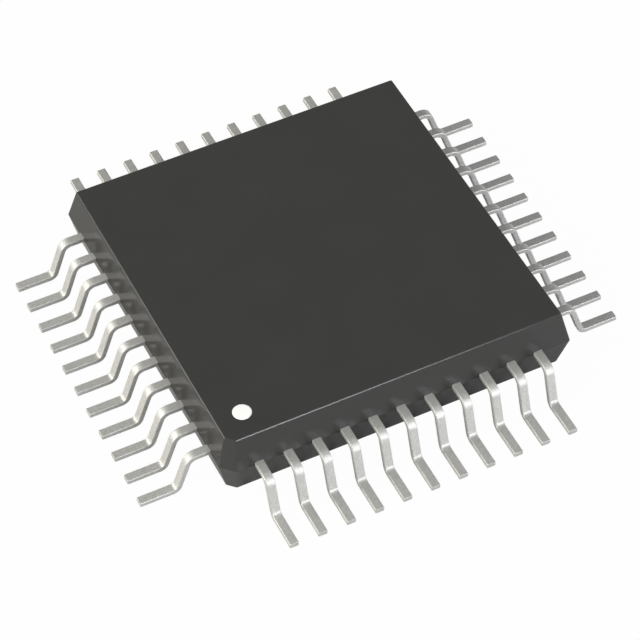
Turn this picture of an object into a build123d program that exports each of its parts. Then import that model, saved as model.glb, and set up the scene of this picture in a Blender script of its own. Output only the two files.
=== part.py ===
from build123d import *

import os

# Integrated circuit in a metric quad flat package, in millimetres.
# The frame stands on the board: +Z is up, z = 0 is the plane that the lead feet rest on, and the
# origin is under the middle of the body. The marked corner is at -X -Y. Leads are numbered from
# there, anticlockwise seen from above: front (-Y), right (+X), back (+Y), left (-X).

# Rows of leads
LEADS_PER_SIDE = 11
LEAD_SPACING = 0.80  # centre to centre along a row
CORNER_MARGIN = 0.97  # centre of a row's last lead to the side of the body

# Moulded body
STANDOFF = 0.14  # board to the underside of the body
LOWER_DEPTH = 0.985  # underside to the parting plane
UPPER_DEPTH = 0.975  # parting plane to the top
DRAFT = 12.4  # degrees, on both halves
CORNER_RADIUS = 0.05
MARK_CHAMFER = 0.336  # leg of the clipped corner at the parting plane
EDGE_BEVEL = 0.03  # on the top and bottom edges

# Ejector pin marks in the underside
EJECTOR_MARK_DIAMETER = 1.2
EJECTOR_MARK_DEPTH = 0.04
EJECTOR_MARK_INSET = 1.6  # side of the body to the centre of a mark

# Pin-one dot, a disc of ink in a shallow recess
DOT_DIAMETER = 0.50
DOT_DEPTH = 0.02
DOT_INSET = 0.97  # side of the body to the centre of the dot

# Leads outside the body, measured on the middle of the strip
LEAD_WIDTH = 0.25
LEAD_THICKNESS = 0.15
SHOULDER_LENGTH = 0.555  # side of the body to the upper bend's corner
FOOT_LENGTH = 1.055  # lower bend's corner to the tip
RISER_RUN = 0.362  # how far out the riser leans between the two corners
UPPER_BEND_RADIUS = 0.275
LOWER_BEND_RADIUS = 0.205

# Leads inside the body
ANCHOR_SETBACK = 0.20  # side of the body to the locking wings
ANCHOR_LENGTH = 0.25
ANCHOR_WIDTH = 0.44
TIP_WIDTH = 0.20
TIP_GAP = 0.25  # edge of the paddle to the finger tips
TIP_CORNER_GAP = 0.55  # corner of the square of tips to a row's last tip

# Paddle, tie bars and die
PADDLE_WIDTH = 4.60
DOWNSET = 0.20  # how far the paddle lies below the leads
TIE_BAR_WIDTH = 0.20
TIE_BAR_RAMP_START = 0.15  # corner of the paddle to the foot of the ramp
TIE_BAR_RAMP_RUN = 0.30
TIE_BAR_COVER = 0.20  # compound left over the end of a tie bar
DIE_WIDTH = 3.40
DIE_THICKNESS = 0.35
ATTACH_THICKNESS = 0.03
ATTACH_MARGIN = 0.10  # epoxy squeezed out past the die

# Bond wires
WIRE_DIAMETER = 0.03
WIRE_FLATS = 4
PAD_INSET = 0.10  # edge of the die to the bond pads
PAD_CORNER_GAP = 0.15  # a row's last pad to the corner of the square of pads
LOOP_HEIGHT = 0.15  # top of the die to the top of a wire
STITCH_SETBACK = 0.12  # end of a finger to the wire's stitch

# Worked out from the sizes above
row_half = (LEADS_PER_SIDE - 1) / 2 * LEAD_SPACING
body_half = row_half + CORNER_MARGIN
lead_plane = STANDOFF + LOWER_DEPTH
top_height = lead_plane + UPPER_DEPTH
shoulder_corner = body_half + SHOULDER_LENGTH
heel_corner = shoulder_corner + RISER_RUN
tip_reach = heel_corner + FOOT_LENGTH
anchor_start = body_half - ANCHOR_SETBACK
fan_start = anchor_start - ANCHOR_LENGTH
tip_line = PADDLE_WIDTH / 2 + TIP_GAP
tip_pitch = 2 * (tip_line - TIP_CORNER_GAP) / (LEADS_PER_SIDE - 1)
paddle_plane = lead_plane - DOWNSET
paddle_top = paddle_plane + LEAD_THICKNESS / 2
die_bottom = paddle_top + ATTACH_THICKNESS
die_top = die_bottom + DIE_THICKNESS
pad_line = DIE_WIDTH / 2 - PAD_INSET
pad_pitch = 2 * (pad_line - PAD_CORNER_GAP) / (LEADS_PER_SIDE - 1)
lead_top = lead_plane + LEAD_THICKNESS / 2

# Outward direction of each row, in the order that the leads are numbered
OUTWARD = {
    "front": Vector(0, -1, 0),
    "right": Vector(1, 0, 0),
    "back": Vector(0, 1, 0),
    "left": Vector(-1, 0, 0),
}
UP = Vector(0, 0, 1)


def row_direction(outward):
    """Direction in which a row's leads are numbered."""
    return UP.cross(outward)


def lead_offset(place):
    """Distance of a lead from the middle of its row, for place 0, 1, 2 and so on."""
    return place * LEAD_SPACING - row_half


def make_half(depth):
    """One drafted half of the body, from the parting plane up to its flat face."""
    towards_far_corner = Axis((0, 0, 0), (1, 1, 0))
    with BuildPart() as half:
        with BuildSketch(Plane.XY.offset(lead_plane)) as outline:
            Rectangle(2 * body_half, 2 * body_half)
            marked_corner = outline.vertices().sort_by(towards_far_corner)[0]
            chamfer(marked_corner, length=MARK_CHAMFER)
        extrude(amount=depth, taper=DRAFT)
        # The two nearest edges belong to the clipped corner, which stays sharp
        drafted_edges = half.edges().filter_by(Plane.XY, reverse=True)
        fillet(drafted_edges.sort_by(towards_far_corner)[2:], radius=CORNER_RADIUS)
        flat_face = half.faces().sort_by(Axis.Z)[-1]
        chamfer(flat_face.edges(), length=EDGE_BEVEL)
    return half.part


def make_lead(outward, place):
    """One lead: a strip bent to a gull wing outside and a flat finger inside, all one piece."""
    along = row_direction(outward)
    offset_in_row = lead_offset(place)
    tip_in_row = offset_in_row * tip_pitch / LEAD_SPACING
    side_view = Plane(
        origin=along * offset_in_row, x_dir=outward, z_dir=outward.cross(UP)
    )
    # Local x runs along the row and local y towards the die
    top_view = Plane(
        origin=(0, 0, lead_plane - LEAD_THICKNESS / 2), x_dir=along, z_dir=UP
    )
    with BuildPart() as lead:
        with BuildSketch(side_view):
            with BuildLine():
                FilletPolyline(
                    (fan_start, lead_plane),
                    (shoulder_corner, lead_plane),
                    (heel_corner, LEAD_THICKNESS / 2),
                    (tip_reach, LEAD_THICKNESS / 2),
                    radius=[UPPER_BEND_RADIUS, LOWER_BEND_RADIUS],
                )
            trace(line_width=LEAD_THICKNESS)
        extrude(amount=LEAD_WIDTH / 2, both=True)
        with BuildSketch(top_view):
            with BuildLine():
                Polyline(
                    (offset_in_row - ANCHOR_WIDTH / 2, -anchor_start),
                    (offset_in_row + ANCHOR_WIDTH / 2, -anchor_start),
                    (offset_in_row + ANCHOR_WIDTH / 2, -fan_start),
                    (tip_in_row + TIP_WIDTH / 2, -tip_line),
                    (tip_in_row - TIP_WIDTH / 2, -tip_line),
                    (offset_in_row - ANCHOR_WIDTH / 2, -fan_start),
                    close=True,
                )
            make_face()
        extrude(amount=LEAD_THICKNESS)
    return lead.part


def make_bond_wires(outward):
    """The wires of one row, each straight up from its pad and down at a slant to its finger."""
    along = row_direction(outward)
    with BuildPart() as wires:
        for place in range(LEADS_PER_SIDE):
            offset_in_row = lead_offset(place)
            pad = along * offset_in_row * pad_pitch / LEAD_SPACING + outward * pad_line
            tip = along * offset_in_row * tip_pitch / LEAD_SPACING + outward * tip_line
            anchor = along * offset_in_row + outward * fan_start
            stitch = tip + (anchor - tip).normalized() * STITCH_SETBACK
            heading = (stitch - pad).normalized()
            start = pad + UP * die_top
            with BuildLine() as route:
                Polyline(
                    start,
                    start + UP * LOOP_HEIGHT,
                    stitch + UP * (lead_top - WIRE_DIAMETER / 2),
                )
            with BuildSketch(Plane(origin=start, x_dir=heading, z_dir=UP)):
                RegularPolygon(radius=WIRE_DIAMETER / 2, side_count=WIRE_FLATS)
            sweep(path=route.wires()[0], transition=Transition.RIGHT)
        # The stitches are pressed flat on the fingers
        split(bisect_by=Plane.XY.offset(lead_top), keep=Keep.TOP)
    return wires.part


# Leads
leads = []
for outward in OUTWARD.values():
    for place in range(LEADS_PER_SIDE):
        leads.append(make_lead(outward, place))

# Paddle and its four tie bars, one stamped piece
tie_bar_start = PADDLE_WIDTH / 2 * 2**0.5
tie_bar_ramp = tie_bar_start + TIE_BAR_RAMP_START
tie_bar_end = (2 * body_half - MARK_CHAMFER) / 2**0.5 - TIE_BAR_COVER
with BuildPart() as paddle:
    with BuildSketch(Plane.XY.offset(paddle_plane - LEAD_THICKNESS / 2)):
        Rectangle(PADDLE_WIDTH, PADDLE_WIDTH)
    extrude(amount=LEAD_THICKNESS)
    for turn in (45, 135, 225, 315):
        diagonal = Vector(1, 0, 0).rotate(Axis.Z, turn)
        with BuildSketch(Plane(origin=(0, 0, 0), x_dir=diagonal, z_dir=diagonal.cross(UP))):
            with BuildLine():
                Polyline(
                    (tie_bar_start - TIE_BAR_WIDTH, paddle_plane),
                    (tie_bar_ramp, paddle_plane),
                    (tie_bar_ramp + TIE_BAR_RAMP_RUN, lead_plane),
                    (tie_bar_end, lead_plane),
                )
            trace(line_width=LEAD_THICKNESS)
        extrude(amount=TIE_BAR_WIDTH / 2, both=True)

# Silver-filled epoxy under the die
with BuildPart() as attach:
    with BuildSketch(Plane.XY.offset(paddle_top)):
        Rectangle(DIE_WIDTH + 2 * ATTACH_MARGIN, DIE_WIDTH + 2 * ATTACH_MARGIN)
    extrude(amount=ATTACH_THICKNESS)

# Silicon die
with BuildPart() as die:
    with BuildSketch(Plane.XY.offset(die_bottom)):
        Rectangle(DIE_WIDTH, DIE_WIDTH)
    extrude(amount=DIE_THICKNESS)

# Bond wires, one group to a row
bond_wires = {side: make_bond_wires(outward) for side, outward in OUTWARD.items()}

# Ink of the pin-one dot
dot_place = Vector(DOT_INSET - body_half, DOT_INSET - body_half, 0)
with BuildPart() as dot:
    with BuildSketch(Plane(origin=dot_place + UP * (top_height - DOT_DEPTH), z_dir=UP)):
        Circle(DOT_DIAMETER / 2)
    extrude(amount=DOT_DEPTH)

# Body: two drafted halves that meet at the parting plane, moulded round all that is inside
with BuildPart() as body:
    add(make_half(UPPER_DEPTH))
    mirror(make_half(LOWER_DEPTH), about=Plane.XY.offset(lead_plane))
    mark_place = body_half - EJECTOR_MARK_INSET
    with Locations(Plane(origin=(0, 0, STANDOFF), z_dir=-UP)):
        with GridLocations(2 * mark_place, 2 * mark_place, 2, 2):
            Cylinder(
                radius=EJECTOR_MARK_DIAMETER / 2,
                height=2 * EJECTOR_MARK_DEPTH,
                mode=Mode.SUBTRACT,
            )
    add(dot.part, mode=Mode.SUBTRACT)
    add(leads, mode=Mode.SUBTRACT)
    add([paddle.part, attach.part, die.part], mode=Mode.SUBTRACT)
    add(list(bond_wires.values()), mode=Mode.SUBTRACT)

# Labels and files
os.makedirs("parts", exist_ok=True)
pieces = {
    "moulded_body": body.part,
    "pin_one_dot": dot.part,
    "die_paddle": paddle.part,
    "die_attach": attach.part,
    "die": die.part,
}
for side, part in bond_wires.items():
    pieces[f"bond_wires_{side}"] = part
for number, part in enumerate(leads, start=1):
    pieces[f"lead_{number:02d}"] = part
for name, part in pieces.items():
    part.label = name
    export_step(part, f"parts/{name}.step")
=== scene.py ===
"""The finished look of an integrated circuit in a metric quad flat package.

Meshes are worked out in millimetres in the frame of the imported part, where +Z is up, the lead feet
stand on z = 0 and the clipped corner is at -X -Y. They are scaled to metres when they are finished.
"""
import logging
from dataclasses import dataclass, field
from enum import Enum
from math import atan2, cos, hypot, pi, radians, sin, tan

import bmesh
import bpy
from mathutils import Matrix, Vector


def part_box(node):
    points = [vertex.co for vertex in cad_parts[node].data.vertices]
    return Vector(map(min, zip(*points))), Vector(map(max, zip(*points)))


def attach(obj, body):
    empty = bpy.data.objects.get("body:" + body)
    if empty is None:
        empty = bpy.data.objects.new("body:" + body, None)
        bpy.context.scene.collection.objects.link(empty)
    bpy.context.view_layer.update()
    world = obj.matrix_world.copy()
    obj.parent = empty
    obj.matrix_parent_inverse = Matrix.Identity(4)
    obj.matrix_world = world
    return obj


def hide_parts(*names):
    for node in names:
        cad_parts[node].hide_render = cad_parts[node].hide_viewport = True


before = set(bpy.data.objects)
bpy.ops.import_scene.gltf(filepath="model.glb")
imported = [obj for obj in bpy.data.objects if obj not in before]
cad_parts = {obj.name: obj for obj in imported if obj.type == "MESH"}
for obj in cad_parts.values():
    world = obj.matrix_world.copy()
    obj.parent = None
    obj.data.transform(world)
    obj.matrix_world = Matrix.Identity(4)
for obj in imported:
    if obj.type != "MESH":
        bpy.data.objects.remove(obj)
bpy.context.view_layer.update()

MM = 0.001
MICROMETRE = 0.000001
BODY = "root"
WHITE = (1.0, 1.0, 1.0, 1.0)
log = logging.getLogger("quad_flat_package")

# Distances in millimetres: corners of a finished piece nearer than the first are merged, and
# corners or heights of a shape in the making nearer than the second are taken as one.
MERGE_DISTANCE = 1e-5
SAME_PLACE = 1e-4
# Face weights nearer than this count as equal.
EQUAL_WEIGHTS = 0.001
# Nearly all values of a noise texture lie between these two.
NOISE_BAND = (0.3, 0.7)


class Side(Enum):
    """The four rows of leads, with the quarter turns that bring the front row to each."""

    FRONT = 0
    RIGHT = 1
    BACK = 2
    LEFT = 3

    @property
    def turn(self) -> Matrix:
        """Rotation about Z that takes the front row to this side."""
        return Matrix.Rotation(self.value * pi / 2, 3, "Z")

    @property
    def label(self) -> str:
        """The side's name as node names spell it."""
        return self.name.lower()


def box_in_mm(node: str) -> tuple[Vector, Vector]:
    """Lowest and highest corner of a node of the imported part, in millimetres."""
    low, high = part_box(node)
    return low / MM, high / MM


# Node trees


class Graph:
    """A node tree that is filled one node at a time."""

    def __init__(self, tree: bpy.types.NodeTree) -> None:
        """Keeps the tree of a material, a world or a group."""
        self.tree = tree

    def node(self, kind: str, inputs: dict | None = None, **settings: object) -> bpy.types.Node:
        """Adds a node, and sets or links its inputs.

        Args:
            kind: the node's type name.
            inputs: values, or output sockets to link from, by input name or number.
            settings: the node's own properties.

        Returns:
            The new node.
        """
        node = self.tree.nodes.new(kind)
        for key, value in settings.items():
            setattr(node, key, value)
        for key, value in (inputs or {}).items():
            if isinstance(value, bpy.types.NodeSocket):
                self.tree.links.new(value, node.inputs[key])
            else:
                node.inputs[key].default_value = value
        return node

    def group(self, group: bpy.types.NodeTree, inputs: dict) -> bpy.types.Node:
        """Adds a node that places a shared group, with its own values."""
        return self.node("ShaderNodeGroup", inputs, node_tree=group)


def new_group(
    name: str, inputs: dict[str, tuple[str, object]], outputs: dict[str, str]
) -> bpy.types.NodeTree:
    """Starts a shader node group.

    Args:
        name: the group's name.
        inputs: socket type and default value by input name.
        outputs: socket type by output name.

    Returns:
        The empty group with its sockets.
    """
    group = bpy.data.node_groups.new(name, "ShaderNodeTree")
    for socket_name, (kind, default) in inputs.items():
        socket = group.interface.new_socket(socket_name, in_out="INPUT", socket_type=kind)
        socket.default_value = default
    for socket_name, kind in outputs.items():
        group.interface.new_socket(socket_name, in_out="OUTPUT", socket_type=kind)
    return group


def grain_group() -> bpy.types.NodeTree:
    """Fine grain on object coordinates, shared by all finishes.

    Returns:
        A group with a height from 0 to 1 and a value between two limits.
    """
    name = "fine_grain"
    if name in bpy.data.node_groups:
        return bpy.data.node_groups[name]
    number = "NodeSocketFloat"
    group = new_group(
        name,
        {"Per mm": (number, 20.0), "Detail": (number, 3.0), "Low": (number, 0.0), "High": (number, 1.0),
         "Stretch": ("NodeSocketVector", (1.0, 1.0, 1.0))},
        {"Height": number, "Value": number},
    )
    graph = Graph(group)
    given = graph.node("NodeGroupInput")
    place = graph.node("ShaderNodeTexCoord")
    in_mm = graph.node(
        "ShaderNodeVectorMath", {0: place.outputs["Object"], "Scale": 1 / MM}, operation="SCALE"
    )
    stretched = graph.node(
        "ShaderNodeVectorMath", {0: in_mm.outputs["Vector"], 1: given.outputs["Stretch"]},
        operation="MULTIPLY",
    )
    noise = graph.node(
        "ShaderNodeTexNoise",
        {"Vector": stretched.outputs["Vector"], "Scale": given.outputs["Per mm"],
         "Detail": given.outputs["Detail"]},
    )
    mapped = graph.node(
        "ShaderNodeMapRange",
        {"Value": noise.outputs["Fac"], "From Min": NOISE_BAND[0], "From Max": NOISE_BAND[1],
         "To Min": given.outputs["Low"], "To Max": given.outputs["High"]},
    )
    graph.node("NodeGroupOutput", {"Height": noise.outputs["Fac"], "Value": mapped.outputs["Result"]})
    return group


def tone_group() -> bpy.types.NodeTree:
    """Slow change of a colour over a surface.

    Returns:
        A group that mixes two colours by soft clouds.
    """
    name = "soft_tone"
    if name in bpy.data.node_groups:
        return bpy.data.node_groups[name]
    colour = "NodeSocketColor"
    number = "NodeSocketFloat"
    group = new_group(
        name,
        {"Dark": (colour, (0.2, 0.2, 0.2, 1.0)), "Light": (colour, (0.4, 0.4, 0.4, 1.0)),
         "Per mm": (number, 1.0)},
        {"Colour": colour},
    )
    graph = Graph(group)
    given = graph.node("NodeGroupInput")
    clouds = graph.group(grain_group(), {"Per mm": given.outputs["Per mm"], "Detail": 4.0})
    mix = graph.node(
        "ShaderNodeMix",
        {"Factor": clouds.outputs["Value"], "A": given.outputs["Dark"], "B": given.outputs["Light"]},
        data_type="RGBA",
    )
    graph.node("NodeGroupOutput", {"Colour": mix.outputs["Result"]})
    return group


# Finishes


@dataclass(frozen=True)
class Finish:
    """A surface finish: two close tones, a band of roughness and a grain that stands out.

    The grain is counted per millimetre, and its depth is in micrometres.
    """

    name: str
    slot: str
    dark: tuple[float, float, float]
    light: tuple[float, float, float]
    tone_per_mm: float
    roughness: tuple[float, float]
    grain_per_mm: float
    grain_depth: float
    metallic: float = 0.0
    ior: float = 1.5
    grain_stretch: tuple[float, float, float] = (1.0, 1.0, 1.0)

    def material(self) -> bpy.types.Material:
        """The finish's material, made the first time that it is asked for."""
        found = bpy.data.materials.get(self.name)
        return found or self.make_material()

    def make_material(self) -> bpy.types.Material:
        """Builds the material.

        Returns:
            A material with tone, roughness and grain on object coordinates.
        """
        material = bpy.data.materials.new(self.name)
        material.use_nodes = True
        material.node_tree.nodes.clear()
        graph = Graph(material.node_tree)
        grain = graph.group(
            grain_group(),
            {"Per mm": self.grain_per_mm, "Detail": 3.0, "Stretch": self.grain_stretch,
             "Low": self.roughness[0], "High": self.roughness[1]},
        )
        bump = graph.node(
            "ShaderNodeBump", {"Height": grain.outputs["Height"], "Distance": self.grain_depth * MICROMETRE}
        )
        shader = graph.node(
            "ShaderNodeBsdfPrincipled",
            {"Base Color": self.colour(graph), "Roughness": grain.outputs["Value"],
             "Normal": bump.outputs["Normal"], "Metallic": self.metallic, "IOR": self.ior},
        )
        graph.node("ShaderNodeOutputMaterial", {"Surface": shader.outputs["BSDF"]})
        return material

    def colour(self, graph: Graph) -> bpy.types.NodeSocket:
        """The finish's colour over the surface.

        Args:
            graph: the material's graph.

        Returns:
            A colour output.
        """
        tone = graph.group(
            tone_group(),
            {"Dark": (*self.dark, 1.0), "Light": (*self.light, 1.0), "Per mm": self.tone_per_mm},
        )
        return tone.outputs["Colour"]


COMPOUND = Finish(
    name="black_moulding_compound", slot="compound",
    dark=(0.038, 0.038, 0.0375), light=(0.041, 0.041, 0.0405), tone_per_mm=0.6,
    roughness=(0.11, 0.15), grain_per_mm=22.0, grain_depth=0.3, ior=1.4,
)
INK = Finish(
    name="white_marking_ink", slot="ink", dark=(0.91, 0.91, 0.905), light=(0.94, 0.94, 0.935),
    tone_per_mm=4.0, roughness=(0.5, 0.62), grain_per_mm=18.0, grain_depth=2.0,
)
TIN = Finish(
    name="matte_tin_plate", slot="tinned_lead", dark=(0.49, 0.49, 0.475), light=(0.6, 0.6, 0.585),
    tone_per_mm=16.0, roughness=(0.43, 0.51), grain_per_mm=26.0, grain_depth=0.6, metallic=0.5,
)
BARE_STRIP = Finish(
    name="bare_nickel_iron", slot="lead_frame", dark=(0.5, 0.49, 0.47), light=(0.58, 0.57, 0.55),
    tone_per_mm=3.0, roughness=(0.28, 0.4), grain_per_mm=14.0, grain_depth=1.0, metallic=1.0,
    grain_stretch=(1.0, 0.1, 1.0),
)
SILVER_EPOXY = Finish(
    name="silver_filled_epoxy", slot="silver_epoxy", dark=(0.42, 0.42, 0.4), light=(0.7, 0.7, 0.68),
    tone_per_mm=30.0, roughness=(0.35, 0.6), grain_per_mm=40.0, grain_depth=3.0, metallic=0.6,
)
SILICON = Finish(
    name="silicon_under_glass", slot="silicon", dark=(0.06, 0.065, 0.09), light=(0.2, 0.21, 0.22),
    tone_per_mm=12.0, roughness=(0.12, 0.22), grain_per_mm=30.0, grain_depth=0.4, ior=2.0,
)
GOLD = Finish(
    name="drawn_gold_wire", slot="gold_wire", dark=(0.78, 0.55, 0.2), light=(0.88, 0.68, 0.3),
    tone_per_mm=10.0, roughness=(0.15, 0.25), grain_per_mm=50.0, grain_depth=0.5, metallic=1.0,
)


# Making pieces


def with_even_flats(piece: bpy.types.Object) -> bpy.types.Mesh:
    """Weights a piece's normals by area, so that its flats shade as flats beside their rounded edges.

    Args:
        piece: an object whose mesh is still in millimetres.

    Returns:
        A new mesh that holds the weighted normals.
    """
    weighted = piece.modifiers.new("even_flats", "WEIGHTED_NORMAL")
    weighted.thresh = EQUAL_WEIGHTS
    evaluated = piece.evaluated_get(bpy.context.evaluated_depsgraph_get())
    mesh = bpy.data.meshes.new_from_object(evaluated)
    piece.modifiers.clear()
    return mesh


def make_piece(bm: bmesh.types.BMesh, name: str, finish: Finish, node: str) -> None:
    """Turns a bmesh in millimetres into a piece of the model, which rides on the body.

    Args:
        bm: the finished shape, which is freed here.
        name: the piece's name.
        finish: what its surface is.
        node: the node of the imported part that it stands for.
    """
    bmesh.ops.remove_doubles(bm, verts=bm.verts, dist=MERGE_DISTANCE)
    bmesh.ops.recalc_face_normals(bm, faces=bm.faces)
    for face in bm.faces:
        face.smooth = True
    draft = bpy.data.meshes.new(f"{name}_draft")
    bm.to_mesh(draft)
    bm.free()
    draft.materials.append(finish.material())
    piece = bpy.data.objects.new(name, draft)
    bpy.context.scene.collection.objects.link(piece)
    mesh = with_even_flats(piece)
    mesh.name = name
    mesh.transform(Matrix.Scale(MM, 4))
    piece.data = mesh
    bpy.data.meshes.remove(draft)
    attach(piece, BODY)
    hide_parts(node)
    log.info("%s: %d faces, %s", name, len(mesh.polygons), finish.name)


def dress_node(node: str, finish: Finish) -> None:
    """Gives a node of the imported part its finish.

    Args:
        node: the node's name.
        finish: what its surface is.
    """
    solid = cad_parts[node]
    solid.data.materials.clear()
    solid.data.materials.append(finish.material())
    log.info("%s: kept, %s", node, finish.name)


def faces_of(geometry: dict) -> list[bmesh.types.BMFace]:
    """The faces that an operator gave back."""
    return [item for item in geometry["geom"] if isinstance(item, bmesh.types.BMFace)]


def at_height(edge: bmesh.types.BMEdge, height: float) -> bool:
    """Whether both ends of an edge lie at a height."""
    return all(abs(vert.co.z - height) < SAME_PLACE for vert in edge.verts)


def bevel_edges(
    bm: bmesh.types.BMesh, edges: list[bmesh.types.BMEdge], width: float, segments: int
) -> None:
    """Rounds edges.

    Args:
        bm: the mesh.
        edges: the edges to round.
        width: distance that the round takes from each face beside the edge.
        segments: faces across the round.
    """
    bmesh.ops.bevel(
        bm, geom=edges, offset=width, segments=segments, profile=0.5, affect="EDGES", material=-1,
        offset_type="OFFSET", clamp_overlap=True,
    )


@dataclass
class MouldedBody:
    """The moulded body: two drafted halves that meet at the parting plane, in millimetres.

    Each field that ends in steps is the number of faces across a round, or round a circle.
    """

    draft: float = radians(12.4)
    mark_chamfer: float = 0.336
    corner_round: float = 0.05
    corner_steps: int = 5
    chamfer_round: float = 0.0215
    chamfer_steps: int = 2
    edge_round: float = 0.05
    edge_steps: int = 4
    parting_round: float = 0.004
    parting_steps: int = 2
    dot_diameter: float = 0.50
    dot_depth: float = 0.02
    dot_inset: float = 0.97
    ink_fill: float = 0.8
    ink_crown_insets: tuple[float, ...] = (0.02, 0.03, 0.05)
    ink_crown_rise: float = 0.0013
    ejector_diameter: float = 1.2
    ejector_depth: float = 0.04
    ejector_inset: float = 1.6
    circle_steps: int = 64
    rim_round: float = 0.006
    rim_steps: int = 2
    lead_thickness: float = 0.15
    low: Vector = field(init=False)
    high: Vector = field(init=False)
    parting: float = field(init=False)
    half: float = field(init=False)

    def __post_init__(self) -> None:
        """Reads the body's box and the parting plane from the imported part."""
        self.low, self.high = box_in_mm("moulded_body")
        self.parting = box_in_mm("lead_01")[1].z - self.lead_thickness / 2
        self.half = self.high.x

    def build(self) -> None:
        """Makes the body and the ink of its dot."""
        bm = bmesh.new()
        self.raise_half(bm, self.high.z - self.parting)
        self.raise_half(bm, self.low.z - self.parting)
        bmesh.ops.remove_doubles(bm, verts=bm.verts, dist=SAME_PLACE)
        bmesh.ops.recalc_face_normals(bm, faces=bm.faces)
        self.round_edges(bm)
        self.sink_dot(bm)
        self.sink_ejector_marks(bm)
        make_piece(bm, "body_shell", COMPOUND, "moulded_body")
        self.make_ink()

    def raise_half(self, bm: bmesh.types.BMesh, depth: float) -> None:
        """Adds one drafted half.

        Args:
            bm: the body's mesh.
            depth: height of the flat face above the parting plane, negative for the lower half.
        """
        at_parting = Matrix.Translation((0, 0, self.parting))
        outline = bmesh.ops.create_grid(bm, x_segments=1, y_segments=1, size=self.half, matrix=at_parting)
        corner = min(outline["verts"], key=lambda vert: vert.co.x + vert.co.y)
        bmesh.ops.bevel(
            bm, geom=[corner], offset=self.mark_chamfer, segments=1, profile=0.5,
            affect="VERTICES", material=-1,
        )
        face = next(face for face in bm.faces if self.is_open(face))
        if (face.normal.z > 0) != (depth > 0):
            face.normal_flip()
        bmesh.ops.inset_region(
            bm, faces=[face], thickness=abs(depth) * tan(self.draft), depth=abs(depth),
            use_boundary=True, use_even_offset=True,
        )

    @staticmethod
    def is_open(face: bmesh.types.BMFace) -> bool:
        """Whether a face has only free edges."""
        return all(len(edge.link_faces) == 1 for edge in face.edges)

    def round_edges(self, bm: bmesh.types.BMesh) -> None:
        """Rounds the drafted corners, the flat faces' edges and the parting edge.

        Args:
            bm: the body's mesh with sharp edges.
        """
        drafted = [
            edge for edge in bm.edges if abs(edge.verts[0].co.z - edge.verts[1].co.z) > SAME_PLACE
        ]
        corners = [edge for edge in drafted if sum(edge.verts[0].co.xy) > -self.half]
        beside_chamfer = [edge for edge in drafted if edge not in corners]
        bevel_edges(bm, corners, self.corner_round, self.corner_steps)
        bevel_edges(bm, beside_chamfer, self.chamfer_round, self.chamfer_steps)
        for height in (self.high.z, self.low.z):
            rim = [edge for edge in bm.edges if at_height(edge, height)]
            bevel_edges(bm, rim, self.edge_round, self.edge_steps)
        parting = [edge for edge in bm.edges if at_height(edge, self.parting)]
        bevel_edges(bm, parting, self.parting_round, self.parting_steps)

    def sink(
        self, bm: bmesh.types.BMesh, height: float, centres: list[Vector], radius: float, depth: float
    ) -> None:
        """Sinks round recesses into a flat face.

        Args:
            bm: the body's mesh.
            height: the flat face's height.
            centres: where the recesses are.
            radius: their radius.
            depth: how far their floor lies inside, negative where that is upwards.
        """
        level = [face for face in bm.faces if abs(face.calc_center_median().z - height) < SAME_PLACE]
        flat = max(level, key=lambda face: face.calc_area())
        border = list(flat.edges)
        bmesh.ops.delete(bm, geom=[flat], context="FACES_ONLY")
        rims = []
        for centre in centres:
            place = Matrix.Translation((centre.x, centre.y, height))
            circle = bmesh.ops.create_circle(bm, segments=self.circle_steps, radius=radius, matrix=place)
            rims.append(list(dict.fromkeys(edge for vert in circle["verts"] for edge in vert.link_edges)))
        bmesh.ops.triangle_fill(
            bm, edges=border + [edge for rim in rims for edge in rim], use_beauty=True, use_dissolve=False
        )
        for rim in rims:
            wall = bmesh.ops.extrude_edge_only(bm, edges=rim)
            low_verts = [item for item in wall["geom"] if isinstance(item, bmesh.types.BMVert)]
            new_edges = [item for item in wall["geom"] if isinstance(item, bmesh.types.BMEdge)]
            bmesh.ops.translate(bm, vec=(0, 0, -depth), verts=low_verts)
            floor_edges = [edge for edge in new_edges if all(vert in low_verts for vert in edge.verts)]
            bmesh.ops.edgeloop_fill(bm, edges=floor_edges)
            bevel_edges(bm, rim + floor_edges, self.rim_round, self.rim_steps)

    def sink_dot(self, bm: bmesh.types.BMesh) -> None:
        """Sinks the recess that the dot's ink fills."""
        self.sink(bm, self.high.z, [self.dot_centre()], self.dot_diameter / 2, self.dot_depth)

    def sink_ejector_marks(self, bm: bmesh.types.BMesh) -> None:
        """Sinks the four marks of the ejector pins into the underside.

        Args:
            bm: the body's mesh.
        """
        place = self.half - self.ejector_inset
        centres = [Vector((x * place, y * place)) for x in (-1, 1) for y in (-1, 1)]
        self.sink(bm, self.low.z, centres, self.ejector_diameter / 2, -self.ejector_depth)

    def dot_centre(self) -> Vector:
        """Centre of the dot, seen from above."""
        return Vector((self.dot_inset - self.half, self.dot_inset - self.half))

    def make_ink(self) -> None:
        """Makes the disc of ink, a little full in the middle and drawn down at its rim."""
        bm = bmesh.new()
        centre = self.dot_centre()
        bottom = Matrix.Translation((centre.x, centre.y, self.high.z - self.dot_depth))
        bmesh.ops.create_circle(
            bm, cap_ends=True, segments=self.circle_steps, radius=self.dot_diameter / 2, matrix=bottom
        )
        bm.normal_update()
        raised = bmesh.ops.extrude_face_region(bm, geom=list(bm.faces))
        top = [item for item in raised["geom"] if isinstance(item, bmesh.types.BMVert)]
        bmesh.ops.translate(bm, vec=(0, 0, self.dot_depth * self.ink_fill), verts=top)
        crown = faces_of(raised)
        for inset in self.ink_crown_insets:
            bmesh.ops.inset_region(bm, faces=crown, thickness=inset, depth=self.ink_crown_rise)
        make_piece(bm, "ink_dot", INK, "pin_one_dot")


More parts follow.
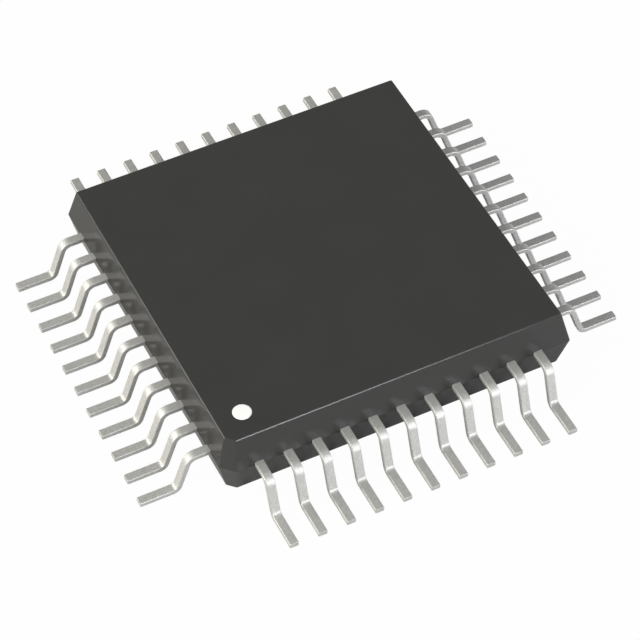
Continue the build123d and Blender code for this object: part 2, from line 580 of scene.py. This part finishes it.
@dataclass
class Lead:
    """One lead: a flat finger inside the body and a gull wing outside, in millimetres.

    Along the row is x, outwards is -y, as on the front row. Each field that ends in steps is the
    number of faces across a round or a bend.
    """

    number: int
    side: Side
    offset: float
    body_half: float
    lead_plane: float
    row_half: float
    width: float = 0.25
    thickness: float = 0.15
    shoulder_length: float = 0.555
    foot_length: float = 1.055
    riser_run: float = 0.362
    upper_bend_radius: float = 0.275
    lower_bend_radius: float = 0.205
    anchor_setback: float = 0.20
    anchor_length: float = 0.25
    anchor_width: float = 0.44
    tip_width: float = 0.20
    tip_line: float = 2.55
    tip_corner_gap: float = 0.55
    sharp_angle: float = radians(50)
    edge_round: float = 0.03
    edge_steps: int = 3
    cut_round: float = 0.012
    cut_steps: int = 2
    bend_steps: int = 12

    def build(self) -> None:
        """Makes the lead and puts it in its row."""
        bm = bmesh.new()
        section = self.make_finger(bm)
        end = self.bend_gull_wing(bm, section)
        self.clear_inner_sections(bm)
        end_edges = list(end.edges)
        sharp = [edge for edge in bm.edges if edge.calc_face_angle(0.0) > self.sharp_angle]
        bevel_edges(bm, [edge for edge in sharp if edge not in end_edges], self.edge_round, self.edge_steps)
        reach = min(vert.co.y for vert in bm.verts)
        cut = [edge for edge in bm.edges if all(vert.co.y < reach + SAME_PLACE for vert in edge.verts)]
        bevel_edges(bm, cut, self.cut_round, self.cut_steps)
        bmesh.ops.rotate(bm, cent=(0, 0, 0), matrix=self.side.turn, verts=bm.verts)
        node = f"lead_{self.number:02d}"
        make_piece(bm, f"tinned_{node}", TIN, node)

    def make_finger(self, bm: bmesh.types.BMesh) -> bmesh.types.BMFace:
        """Makes the flat finger with its two locking wings.

        Args:
            bm: the lead's empty mesh.

        Returns:
            The end face that the gull wing goes on from.
        """
        anchor_start = self.body_half - self.anchor_setback
        fan_start = anchor_start - self.anchor_length
        tip_in_row = self.offset * (self.tip_line - self.tip_corner_gap) / self.row_half
        outline = [
            (self.tip_width / 2 + tip_in_row, self.tip_line),
            (self.anchor_width / 2 + self.offset, fan_start),
            (self.anchor_width / 2 + self.offset, anchor_start),
            (self.width / 2 + self.offset, anchor_start),
            (-self.width / 2 + self.offset, anchor_start),
            (-self.anchor_width / 2 + self.offset, anchor_start),
            (-self.anchor_width / 2 + self.offset, fan_start),
            (-self.tip_width / 2 + tip_in_row, self.tip_line),
        ]
        underside = self.lead_plane - self.thickness / 2
        plan = bm.faces.new([bm.verts.new((x, -out, underside)) for x, out in outline])
        raised = bmesh.ops.extrude_face_region(bm, geom=[plan])
        top = [item for item in raised["geom"] if isinstance(item, bmesh.types.BMVert)]
        bmesh.ops.translate(bm, vec=(0, 0, self.thickness), verts=top)
        bmesh.ops.recalc_face_normals(bm, faces=bm.faces)
        middle = Vector((self.offset, -anchor_start, self.lead_plane))
        return min(bm.faces, key=lambda face: (face.calc_center_median() - middle).length)

    def bend_gull_wing(self, bm: bmesh.types.BMesh, section: bmesh.types.BMFace) -> bmesh.types.BMFace:
        """Draws the strip out of the body and bends it down to its foot.

        Args:
            bm: the lead's mesh.
            section: the end face of the finger.

        Returns:
            The cut end of the foot.
        """
        drop = self.lead_plane - self.thickness / 2
        angle = atan2(drop, self.riser_run)
        upper_tangent = self.upper_bend_radius * tan(angle / 2)
        lower_tangent = self.lower_bend_radius * tan(angle / 2)
        shoulder = self.anchor_setback + self.shoulder_length - upper_tangent
        riser = hypot(drop, self.riser_run) - upper_tangent - lower_tangent
        foot = self.foot_length - lower_tangent
        down_riser = Vector((0, -cos(angle), -sin(angle)))
        section = self.draw(bm, section, Vector((0, -shoulder, 0)))
        section = self.bend(bm, section, Vector((0, 0, -self.upper_bend_radius)), angle)
        section = self.draw(bm, section, down_riser * riser)
        towards_centre = Vector((0, -sin(angle), cos(angle))) * self.lower_bend_radius
        section = self.bend(bm, section, towards_centre, -angle)
        return self.draw(bm, section, Vector((0, -foot, 0)))

    @staticmethod
    def clear_inner_sections(bm: bmesh.types.BMesh) -> None:
        """Takes out the sections that stay inside the strip where it was drawn or bent on.

        Args:
            bm: the lead's mesh.
        """
        inner = [face for face in bm.faces if all(len(edge.link_faces) > 2 for edge in face.edges)]
        bmesh.ops.delete(bm, geom=inner, context="FACES_ONLY")

    def draw(self, bm: bmesh.types.BMesh, section: bmesh.types.BMFace, run: Vector) -> bmesh.types.BMFace:
        """Draws the strip out straight.

        Args:
            bm: the lead's mesh.
            section: the strip's end face.
            run: how far and which way it is drawn.

        Returns:
            The new end face.
        """
        drawn = bmesh.ops.extrude_face_region(bm, geom=[section])
        end = faces_of(drawn)[0]
        bmesh.ops.translate(bm, vec=run, verts=end.verts)
        return end

    def bend(
        self, bm: bmesh.types.BMesh, section: bmesh.types.BMFace, to_centre: Vector, angle: float
    ) -> bmesh.types.BMFace:
        """Bends the strip on.

        Args:
            bm: the lead's mesh.
            section: the strip's end face.
            to_centre: from the middle of that face to the bend's centre.
            angle: turn of the bend, positive downwards.

        Returns:
            The new end face.
        """
        spun = bmesh.ops.spin(
            bm, geom=[section], cent=section.calc_center_median() + to_centre, axis=(1, 0, 0),
            dvec=(0, 0, 0), angle=angle, steps=self.bend_steps, use_merge=False, use_duplicate=False,
        )
        return next(item for item in spun["geom_last"] if isinstance(item, bmesh.types.BMFace))


@dataclass
class LeadRows:
    """The four rows of leads."""

    body: MouldedBody
    per_side: int = 11
    spacing: float = 0.80

    def build(self) -> None:
        """Makes all leads, numbered anticlockwise from the clipped corner."""
        row_half = (self.per_side - 1) / 2 * self.spacing
        for side in Side:
            for place in range(self.per_side):
                lead = Lead(
                    number=side.value * self.per_side + place + 1, side=side,
                    offset=place * self.spacing - row_half, body_half=self.body.half,
                    lead_plane=self.body.parting, row_half=row_half,
                )
                lead.build()


@dataclass
class SealedParts:
    """What the body holds inside: paddle, silver epoxy, die and bond wires."""

    def build(self) -> None:
        """Dresses the sealed parts."""
        dress_node("die_paddle", BARE_STRIP)
        dress_node("die_attach", SILVER_EPOXY)
        dress_node("die", SILICON)
        for side in Side:
            dress_node(f"bond_wires_{side.label}", GOLD)


# Studio


@dataclass(frozen=True)
class Softbox:
    """A soft lamp that faces the part, with its place as angles in degrees and its sizes in metres.

    Azimuth 0 is in front of the part, and 90 is to its right. The lamp's power is pi times its
    strength and its area.
    """

    name: str
    azimuth: float
    elevation: float
    distance: float
    width: float
    height: float
    strength: float
    colour: tuple[float, float, float]

    def build(self) -> None:
        """Makes the lamp."""
        data = bpy.data.lights.new(self.name, "AREA")
        data.shape = "RECTANGLE"
        data.size = self.width
        data.size_y = self.height
        data.energy = self.strength * pi * self.width * self.height
        data.color = self.colour
        lamp = bpy.data.objects.new(self.name, data)
        turn, rise = radians(self.azimuth), radians(self.elevation)
        away = Vector((sin(turn) * cos(rise), -cos(turn) * cos(rise), sin(rise)))
        lamp.location = away * self.distance
        lamp.rotation_mode = "QUATERNION"
        lamp.rotation_quaternion = away.to_track_quat("Z", "Y")
        bpy.context.scene.collection.objects.link(lamp)


@dataclass
class Studio:
    """A white studio round the part: floor, sky, lamps and camera.

    Lengths are in metres, apart from the edge of the floor's painted reflection, which is in millimetres.
    The floor's reach is from its middle to each side. A glow or a level of 1 renders white.
    """

    target: Vector = field(default_factory=lambda: Vector((-0.124, -0.593, 0.0)) * MM)
    azimuth: float = radians(-26.497)
    elevation: float = radians(49.845)
    distance: float = 73.894 * MM
    focal_pixels: float = 2768.7
    picture_pixels: float = 640.0
    near_clip: float = 3.6947 * MM
    far_clip: float = 8.0
    floor_reach: float = 2.0
    floor_colour: float = 0.5
    floor_glow: float = 0.98
    mirrored_glow: float = 0.05
    # Painted reflection: to the right of the body the floor glows this bright, in reflections only.
    right_mirrored_glow: float = 0.5
    mirror_edge: tuple[float, float] = (5.1, 5.5)
    sky_level: tuple[float, float] = (0.19, 0.42)
    sky_bright_side: tuple[float, float, float] = (-0.8, -0.6, 0.0)

    def build(self) -> None:
        """Makes the whole studio."""
        bpy.context.scene.view_settings.view_transform = "Standard"
        self.make_camera()
        self.make_floor()
        self.make_sky()
        self.make_lamps()

    def make_camera(self) -> None:
        """Puts the camera where the photograph was taken from."""
        data = bpy.data.cameras.new("camera")
        data.lens = data.sensor_width * self.focal_pixels / self.picture_pixels
        data.clip_start = self.near_clip
        data.clip_end = self.far_clip
        camera = bpy.data.objects.new("camera", data)
        level = cos(self.elevation)
        back = Vector((sin(self.azimuth) * level, -cos(self.azimuth) * level, sin(self.elevation)))
        camera.location = self.target + back * self.distance
        camera.rotation_mode = "QUATERNION"
        camera.rotation_quaternion = (-back).to_track_quat("-Z", "Y")
        bpy.context.scene.collection.objects.link(camera)
        bpy.context.scene.camera = camera

    def make_floor(self) -> None:
        """Makes the floor, white but for a trace of the part's soft shadow."""
        bm = bmesh.new()
        bmesh.ops.create_grid(bm, x_segments=1, y_segments=1, size=self.floor_reach)
        mesh = bpy.data.meshes.new("floor")
        bm.to_mesh(mesh)
        bm.free()
        material = bpy.data.materials.new("white_floor")
        material.use_nodes = True
        material.node_tree.nodes.clear()
        graph = Graph(material.node_tree)
        paper = graph.node("ShaderNodeBsdfDiffuse", {"Color": (*[self.floor_colour] * 3, 1.0)})
        glow = graph.node("ShaderNodeEmission", {"Color": WHITE, "Strength": 1.0})
        mixed = graph.node(
            "ShaderNodeMixShader", {0: self.glow_share(graph), 1: paper.outputs[0], 2: glow.outputs[0]}
        )
        graph.node("ShaderNodeOutputMaterial", {"Surface": mixed.outputs[0]})
        mesh.materials.append(material)
        floor = bpy.data.objects.new("floor", mesh)
        bpy.context.scene.collection.objects.link(floor)

    def glow_share(self, graph: Graph) -> bpy.types.NodeSocket:
        """How much of the floor is plain white: most of it to the camera, and less in reflections.

        A painted reflection: to the right of the body the floor glows brighter in reflections only, so
        that the risers of the right row mirror a lighter floor than the body does.

        Args:
            graph: the floor's graph.

        Returns:
            A value output.
        """
        ray = graph.node("ShaderNodeLightPath")
        indirect = graph.node(
            "ShaderNodeMath", {0: ray.outputs["Is Glossy Ray"], 1: ray.outputs["Is Transmission Ray"]},
            operation="MAXIMUM",
        )
        place = graph.node("ShaderNodeTexCoord")
        along = graph.node("ShaderNodeSeparateXYZ", {"Vector": place.outputs["Object"]})
        # Painted reflection: the floor's glow in reflections rises to the right of the body.
        level = graph.node(
            "ShaderNodeMapRange",
            {"Value": along.outputs["X"],
             "From Min": self.mirror_edge[0] * MM, "From Max": self.mirror_edge[1] * MM,
             "To Min": self.mirrored_glow, "To Max": self.right_mirrored_glow},
        )
        mirrored = graph.node(
            "ShaderNodeMath", {0: indirect.outputs[0], 1: level.outputs["Result"]}, operation="MULTIPLY"
        )
        share = graph.node(
            "ShaderNodeMath", {0: ray.outputs["Is Camera Ray"], 1: self.floor_glow, 2: mirrored.outputs[0]},
            operation="MULTIPLY_ADD", use_clamp=True,
        )
        return share.outputs[0]

    def make_sky(self) -> None:
        """Makes a soft light from all round, brighter from the front left, and white to the camera."""
        world = bpy.data.worlds.new("studio_sky")
        bpy.context.scene.world = world
        world.use_nodes = True
        world.node_tree.nodes.clear()
        graph = Graph(world.node_tree)
        place = graph.node("ShaderNodeTexCoord")
        towards = graph.node(
            "ShaderNodeVectorMath", {0: place.outputs["Generated"], 1: self.sky_bright_side},
            operation="DOT_PRODUCT",
        )
        level = graph.node(
            "ShaderNodeMapRange",
            {"Value": towards.outputs["Value"], "From Min": -1.0, "From Max": 1.0,
             "To Min": self.sky_level[0], "To Max": self.sky_level[1]},
        )
        ray = graph.node("ShaderNodeLightPath")
        seen = graph.node(
            "ShaderNodeMix",
            {"Factor": ray.outputs["Is Camera Ray"], "A": level.outputs["Result"], "B": 1.0},
            data_type="FLOAT",
        )
        sky = graph.node("ShaderNodeBackground", {"Color": WHITE, "Strength": seen.outputs["Result"]})
        graph.node("ShaderNodeOutputWorld", {"Surface": sky.outputs[0]})

    def make_lamps(self) -> None:
        """Makes the soft lamps: two narrow ones draw the bright lines on the body's upper edges."""
        for lamp in (
            Softbox("left_lamp", azimuth=-91.0, elevation=26.0, distance=0.5, width=0.4, height=0.34,
                    strength=6.2, colour=(1.0, 0.97, 0.88)),
            Softbox("front_lamp", azimuth=17.0, elevation=29.0, distance=0.5, width=0.066, height=0.42,
                    strength=12.5, colour=(0.95, 0.98, 1.0)),
            Softbox("low_right_lamp", azimuth=48.0, elevation=10.0, distance=0.5, width=0.3, height=0.16,
                    strength=8.0, colour=(0.98, 0.99, 1.0)),
            Softbox("back_left_lamp", azimuth=-128.5, elevation=31.0, distance=0.5, width=0.09, height=0.36,
                    strength=7.2, colour=(1.0, 0.98, 0.92)),
        ):
            lamp.build()


def main() -> None:
    """Builds the part's visual model and the studio."""
    body = MouldedBody()
    body.build()
    LeadRows(body).build()
    SealedParts().build()
    Studio().build()


if __name__ == "__main__":
    logging.basicConfig(level=logging.INFO, format="%(name)s: %(message)s")
    main()
